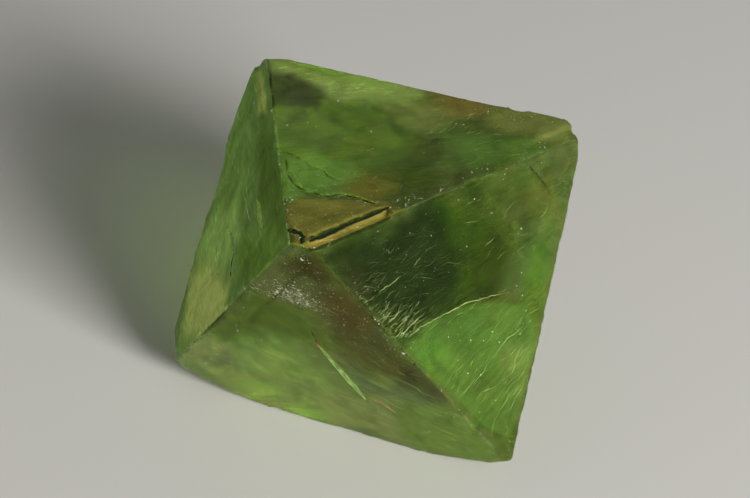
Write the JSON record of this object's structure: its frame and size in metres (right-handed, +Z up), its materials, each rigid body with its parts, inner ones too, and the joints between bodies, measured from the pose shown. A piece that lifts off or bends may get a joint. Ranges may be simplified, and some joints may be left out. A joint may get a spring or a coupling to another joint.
{
  "type": "fluorite octahedron",
  "caption": "Green fluorite cleavage octahedron with stepped, chipped triangular faces, lying on one of its faces",
  "frame": {"origin": "the middle of the bounding box, on the plane of the resting face", "axes": "+Z up from the resting cleavage face, which is level; the octahedron corner seen nearest is toward -Y"},
  "size_m": [0.0432, 0.0435, 0.0332],
  "materials": {
    "green_fluorite": "clear green, satin skin"
  },
  "bodies": {
    "root": {"fluorite_octahedron": "green_fluorite"}
  },
  "joints": []
}
